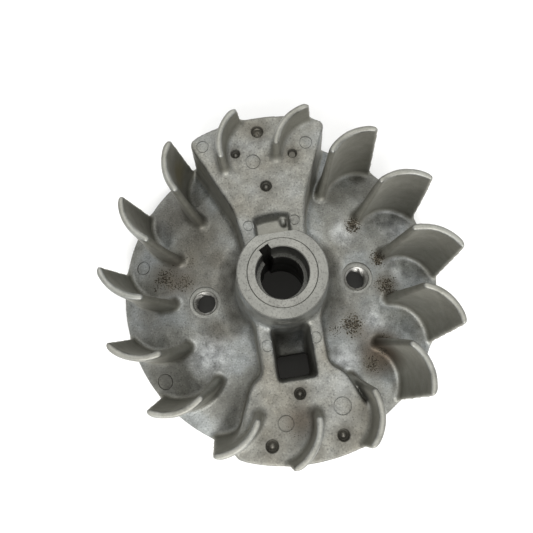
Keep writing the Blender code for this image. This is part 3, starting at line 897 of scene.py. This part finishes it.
def cast_material():
    """Die-cast aluminium: mottled skin, thin brown film, painted shade in creases and the slot, edges
    partly worn and partly painted highlight, tarnish partly painted shade, polish partly painted
    sheen.
    """
    made, nodes, links = new_material("cast_aluminium_skin")
    place = nodes.new("ShaderNodeTexCoord").outputs["Object"]
    shader = nodes["Principled BSDF"]
    film, wear_and_glint, plateau, deposit, tarnish_and_shade, rust, polish_and_sheen, oil, crease, slot_shade = (
        add_attribute(nodes, name) for name in (
            "film", "wear_and_glint", "plateau", "deposit", "tarnish_and_shade", "rust", "polish_and_sheen", "oil", "crease",
            "slot_shade"))
    broad = add_noise(nodes, links, 75.0, 3.0, place)
    mottle = add_noise(nodes, links, 330.0, 4.0, place)
    grain = add_noise(nodes, links, 1900.0, 4.0, place)
    fine = add_noise(nodes, links, 3200.0, 2.0, place)

    skin = add_ramp(nodes, links, broad, [
        (0.35, (0.15, 0.149, 0.131)), (0.5, (0.225, 0.228, 0.211)), (0.65, (0.275, 0.29, 0.286))])
    # Painted sheen: the polish patches lighten the base colour towards pale grey as a reflection
    # would; their lower roughness is real polish.
    bright = add_ramp(nodes, links, mottle, [(0.3, (0.33, 0.342, 0.345)), (0.6, (0.60, 0.62, 0.62))])
    skin = add_mix(nodes, links, add_math(nodes, links, "MULTIPLY", polish_and_sheen, 0.8), skin, bright)
    brown = add_ramp(nodes, links, mottle, [(0.3, (0.25, 0.246, 0.212)), (0.7, (0.28, 0.275, 0.24))])
    skin = add_mix(nodes, links, film, skin, brown)
    skin = add_mix(nodes, links, oil, skin, (0.30, 0.26, 0.14))
    flat = add_ramp(nodes, links, broad, [
        (0.35, (0.195, 0.187, 0.16)), (0.5, (0.235, 0.233, 0.209)), (0.65, (0.255, 0.259, 0.245))])
    skin = add_mix(nodes, links, plateau, skin, flat)
    # Tarnish, which on the web left of the magnet boss is painted shade.
    skin = add_mix(nodes, links, tarnish_and_shade, skin, (0.11, 0.104, 0.088))
    skin = add_mix(nodes, links, rust, skin, (0.095, 0.074, 0.056))
    even = add_math(nodes, links, "SUBTRACT", 1.0,
                    add_math(nodes, links, "MULTIPLY", film, 0.75))
    shades = add_ramp(nodes, links, mottle, [(0.3, 0.78), (0.7, 1.18)])
    skin = add_mix(nodes, links, even, skin, shades, "MULTIPLY")
    speckle = add_ramp(nodes, links, grain, [(0.32, 0.6), (0.43, 0.96), (0.57, 1.0), (0.7, 1.35)])
    skin = add_mix(nodes, links, even, skin, speckle, "MULTIPLY")

    stain = add_math(nodes, links, "MULTIPLY", deposit, 0.5)
    skin = add_mix(nodes, links, stain, skin, (0.135, 0.118, 0.088))
    crust = add_ramp(nodes, links, fine, [
        (0.38, (0.015, 0.013, 0.01)), (0.55, (0.07, 0.06, 0.044)), (0.7, (0.20, 0.18, 0.14))])
    clusters = add_math(nodes, links, "MULTIPLY", add_math(
        nodes, links, "ADD", deposit, mottle, clamp=False), 0.32)
    specks = add_math(nodes, links, "ADD", clusters,
                      add_math(nodes, links, "MULTIPLY", grain, 0.8))
    patchy = add_ramp(nodes, links, specks, [(0.745, 0.0), (0.82, 1.0)])
    skin = add_mix(nodes, links, patchy, skin, crust)
    # Painted shade: creases, found by how near the facing surface is, are darkened towards a brownish
    # near-black.
    painted_crease_shade = add_math(nodes, links, "MULTIPLY", crease, 0.4)
    skin = add_mix(nodes, links, painted_crease_shade, skin, (0.05, 0.045, 0.036))
    # Painted shade: the slot between the counterweight ribs is darkened towards near-black.
    skin = add_mix(nodes, links, slot_shade, skin, (0.035, 0.034, 0.03))
    # Pale edges and blade crests: partly wear, partly painted highlight.
    worn_and_glinting = add_math(nodes, links, "MULTIPLY", wear_and_glint,
                       add_ramp(nodes, links, mottle, [(0.35, 0.35), (0.6, 1.0)]))
    skin = add_mix(nodes, links, worn_and_glinting, skin, (0.40, 0.40, 0.375))
    links.new(skin, shader.inputs["Base Color"])

    rough = add_ramp(nodes, links, mottle, [(0.3, 0.38), (0.7, 0.52)])
    rough = add_mix(nodes, links, polish_and_sheen, rough, (0.33, 0.33, 0.33))
    rough = add_mix(nodes, links, add_math(nodes, links, "MAXIMUM", plateau, film), rough,
                    (0.58, 0.58, 0.58))
    rough = add_mix(nodes, links, patchy, rough, (0.7, 0.7, 0.7))
    links.new(rough, shader.inputs["Roughness"])
    shader.inputs["Metallic"].default_value = 0.8
    skin_bump = add_bump(nodes, links, fine, 0.3, 0.06)
    relief = add_math(nodes, links, "MULTIPLY", grain,
                      add_math(nodes, links, "MAXIMUM", deposit, 0.35))
    relief = add_math(nodes, links, "MULTIPLY", relief,
                      add_math(nodes, links, "SUBTRACT", 1.0, film))
    links.new(add_bump(nodes, links, relief, 0.7, 0.18, skin_bump), shader.inputs["Normal"])
    return made


def machined_material(name, light, dark, roughness):
    """A turned face: fine speckle and faint scratches."""
    made, nodes, links = new_material(name)
    place = nodes.new("ShaderNodeTexCoord").outputs["Object"]
    shader = nodes["Principled BSDF"]
    speckle = add_noise(nodes, links, 2300.0, 4.0, place)
    broad = add_noise(nodes, links, 160.0, 3.0, place)
    face = add_ramp(nodes, links, speckle, [(0.3, dark), (0.5, light)])
    links.new(face, shader.inputs["Base Color"])
    rough = add_ramp(nodes, links, broad, [(0.3, roughness - 0.08), (0.7, roughness + 0.1)])
    links.new(rough, shader.inputs["Roughness"])
    shader.inputs["Metallic"].default_value = 0.9
    links.new(add_bump(nodes, links, speckle, 0.3, 0.06), shader.inputs["Normal"])
    return made


def skin_layers(mesh, field):
    """Where film, wear with painted edge highlights, painted crease and slot shade, and the plateaus
    lie, as one value per vertex.
    """
    x, y, z = vertex_places(mesh)
    normals = np.empty(len(mesh.vertices) * 3)
    mesh.vertex_normals.foreach_get("vector", normals)
    nx, ny, nz = normals.reshape(-1, 3).T
    away, under = CREASE_PROBE, EDGE_PROBE
    # Probe the field along the normal: how closed in a point is gives the painted crease shade, and
    # how thin the metal under it is gives the pale edges.
    open_to = sampled(field, x + away * nx, y + away * ny, z + away * nz)
    backed_by = sampled(field, x - under * nx, y - under * ny, z - under * nz)
    crease = np.clip(1.15 * (1.0 - open_to / away), 0.0, 1.0)
    # Convex edges get a pale band: partly wear, partly painted highlight.
    edge = np.clip(1.6 * (1.0 + backed_by / under) - 0.15, 0.0, 1.0)
    edge = edge * (z < BLADE_TOP_Z - CREST_BAND)
    blade = np.full(len(x), np.inf)
    for number in range(BLADE_COUNT):
        blade = np.minimum(blade, blade_distance(x, y, z, BLADE_PITCH * number))
    boss = np.minimum(magnet_boss_distance(x, y, z), weight_boss_distance(x, y, z))
    on_blade = np.clip(1.0 - blade / BLADE_FILM_REACH, 0.0, 1.0)
    # Blade crests: a pale band just under the top with a dimmer top, partly wear and partly painted
    # highlight.
    crest = np.clip((z - BLADE_TOP_Z + 0.9) / 0.4, 0.0, 1.0) * (z < BLADE_TOP_Z + 0.4)
    crest = crest - 0.65 * np.clip((z - BLADE_TOP_Z + 0.35) / 0.25, 0.0, 1.0) * crest
    plateau = np.clip(1.0 - np.abs(z - PLATEAU_Z) / 0.6, 0.0, 1.0) * (boss < 0.5)
    low_web = np.clip(1.0 - blade / FOOT_FILM_REACH, 0.0, 1.0) * (z < FOOT_FILM_TOP_Z)
    flank = 0.75 * (boss < 0.8) * np.clip(PLATEAU_Z - 0.7 - z, 0.0, 1.0)
    film = np.clip(np.maximum(on_blade + 0.15 * low_web, flank), 0.0, 1.0) * (1.0 - crest)
    plateau = plateau * (1.0 - 0.7 * on_blade)
    # Mask of the shade painted into the slot.
    in_slot = np.clip((SLOT_HALF_WIDTH + 1.2 - np.abs(x)) / 0.8, 0.0, 1.0)
    in_slot *= (np.abs(y + SLOT_MIDDLE_Y) < SLOT_SHADE_REACH) * np.clip(PLATEAU_Z - 0.6 - z, 0.0, 1.0)
    layers = {"film": film, "wear_and_glint": np.maximum(0.55 * crest, 0.5 * edge), "plateau": plateau,
              "crease": crease * (1.0 - 0.7 * on_blade), "slot_shade": 0.3 * in_slot}
    return layers | patch_layers(x, y, z)


def patch_layers(x, y, z):
    """Strength of each kind of patch, fading from its centre to its radius."""
    layers = {}
    for name, patches in PATCHES.items():
        layers[name] = np.zeros(len(x))
        if name == "tarnish_and_shade":
            patches = patches + tuple(
                (px, py, PLATEAU_Z, PIT_STAIN_REACH * r, PIT_STAIN) for px, py, r, _ in PITS)
        for px, py, pz, radius, strength in patches:
            off = np.sqrt((x - px) ** 2 + (y - py) ** 2 + (0.6 * (z - pz)) ** 2)
            spot = strength * np.clip(1.3 * (1.0 - off / radius), 0.0, 1.0)
            layers[name] = np.maximum(layers[name], spot)
    return layers


def paint_casting(casting, field):
    """Skin attributes, and which faces are cast skin, machined or threaded."""
    mesh = casting.data
    for name, values in skin_layers(mesh, field).items():
        layer = mesh.attributes.new(name, "FLOAT", "POINT")
        layer.data.foreach_set("value", np.clip(values, 0.0, 1.0).astype(np.float32))
    machined = machined_material("machined_aluminium", (0.205, 0.205, 0.188),
                                 (0.125, 0.125, 0.115), 0.5)
    bored = machined_material("oily_thread", (0.50, 0.495, 0.47), (0.30, 0.295, 0.28), 0.34)
    mesh.materials.clear()
    for material in (cast_material(), machined, bored):
        mesh.materials.append(material)
    centres = np.empty(len(mesh.polygons) * 3)
    mesh.polygons.foreach_get("center", centres)
    x, y, z = centres.reshape(-1, 3).T / MM
    radius = np.hypot(x, y)
    off_bolt = np.hypot(np.abs(x) - BOLT_CIRCLE_R, y)
    slots = np.zeros(len(x), np.int32)
    slots[(z > HEIGHT - HUB_CHAMFER - 0.05) | ((radius < REAR_HUB_R) & (z < 0.05))] = 1
    slots[(off_bolt < SPOT_FACE_R + 0.1) & (z > SPOT_FACE_Z - 0.6)] = 1
    slots[(off_bolt < THREAD_MAJOR_R + 0.05) & (z < SPOT_FACE_Z - 0.3)] = 2
    mesh.polygons.foreach_set("material_index", slots)
    mesh.update()


def paint_bush(bush):
    """A pale turned end face and a dark, oily bore."""
    mesh = bush.data
    mesh.materials.clear()
    mesh.materials.append(
        machined_material("bush_face_steel", (0.205, 0.204, 0.187), (0.125, 0.122, 0.112), 0.48))
    mesh.materials.append(
        machined_material("oily_bore_steel", (0.095, 0.095, 0.087), (0.055, 0.055, 0.05), 0.4))
    for face in mesh.polygons:
        x, y, z = face.center / MM
        radius = math.hypot(x, y)
        face.material_index = int(radius < BUSH_R - 0.7 and z < HEIGHT - 0.35)


def paint_inserts():
    """Materials for the CAD nodes that stay: magnet, laminations, rivets and slug."""
    finishes = {
        "magnet": machined_material("sintered_magnet", (0.10, 0.10, 0.10), (0.05, 0.05, 0.05), 0.5),
        "lamination": machined_material("sheet_steel", (0.26, 0.25, 0.24), (0.12, 0.09, 0.07), 0.45),
        "rivet": machined_material("rivet_wire", (0.40, 0.40, 0.40), (0.22, 0.21, 0.20), 0.35),
        "slug": machined_material("slug_iron", (0.22, 0.21, 0.20), (0.10, 0.09, 0.08), 0.5),
    }
    for name, node in frame["nodes"].items():
        for word, material in finishes.items():
            if word in name:
                for slot in node.material_slots:
                    slot.material = material


# ---------------------------------------------------------------- stage

def make_stage():
    """A pale floor, and a dark disc under the wheel that shows only through its holes, painting the
    shade inside them; it glows faintly, painting the little light that reaches there.
    """
    half = FLOOR_HALF_SIZE
    corners = [(-half, -half), (half, -half), (half, half), (-half, half)]
    floor = add_object("floor", mesh_from("floor", [(x, y, FLOOR_Z) for x, y in corners],
                                          [(0, 1, 2, 3)]))
    material, nodes, _ = new_material("pale_floor")
    nodes["Principled BSDF"].inputs["Base Color"].default_value = (0.97, 0.97, 0.97, 1.0)
    nodes["Principled BSDF"].inputs["Roughness"].default_value = 0.9
    floor.data.materials.append(material)
    hole_shade = add_object("hole_shade_disc", mesh_from("hole_shade_disc", [
        (*polar(HOLE_SHADE_R, 360.0 * i / 64), HOLE_SHADE_Z) for i in range(64)], [tuple(range(64))]))
    material, nodes, _ = new_material("hole_shade_disc")
    nodes["Principled BSDF"].inputs["Base Color"].default_value = (0.03, 0.03, 0.028, 1.0)
    # Faint glow: painted light for the little light that reaches the floor of the holes.
    nodes["Principled BSDF"].inputs["Emission Color"].default_value = (1.0, 0.98, 0.9, 1.0)
    nodes["Principled BSDF"].inputs["Emission Strength"].default_value = 0.013
    nodes["Principled BSDF"].inputs["Roughness"].default_value = 0.9
    hole_shade.data.materials.append(material)


def add_area_light(name, place, size, power, colour):
    light = bpy.data.lights.new(name, "AREA")
    light.shape = "DISK"
    light.size = size * MM
    light.energy = power
    light.color = colour
    lamp = bpy.data.objects.new(name, light)
    bpy.context.scene.collection.objects.link(lamp)
    lamp.location = Vector(place) * MM
    lamp.rotation_euler = (-Vector(place)).to_track_quat("-Z", "Y").to_euler()


def light_scene():
    world = bpy.data.worlds.new("studio")
    bpy.context.scene.world = world
    world.use_nodes = True
    background = world.node_tree.nodes["Background"]
    background.inputs["Color"].default_value = (1.0, 1.0, 1.0, 1.0)
    background.inputs["Strength"].default_value = 0.76
    add_area_light("front_softbox", (-40, -520, 470), 560, 4.5, (1.0, 0.99, 0.97))
    add_area_light("top_softbox", (40, 200, 700), 560, 2.0, (1.0, 1.0, 0.98))
    bpy.context.scene.view_settings.view_transform = "Standard"


def make_camera():
    right, back = Vector(CAMERA_RIGHT), Vector(CAMERA_BACK)
    axes = Matrix((right, back.cross(right), back)).transposed()
    data = bpy.data.cameras.new("camera")
    data.lens = CAMERA_LENS
    data.clip_start = 0.001
    camera = bpy.data.objects.new("camera", data)
    bpy.context.scene.collection.objects.link(camera)
    camera.matrix_world = Matrix.Translation(Vector(CAMERA_PLACE) * MM) @ axes.to_4x4()
    bpy.context.scene.camera = camera


make_camera()
light_scene()
make_stage()
skin_field = casting_field()
paint_casting(make_casting(skin_field), skin_field)
paint_bush(make_bush())
paint_inserts()
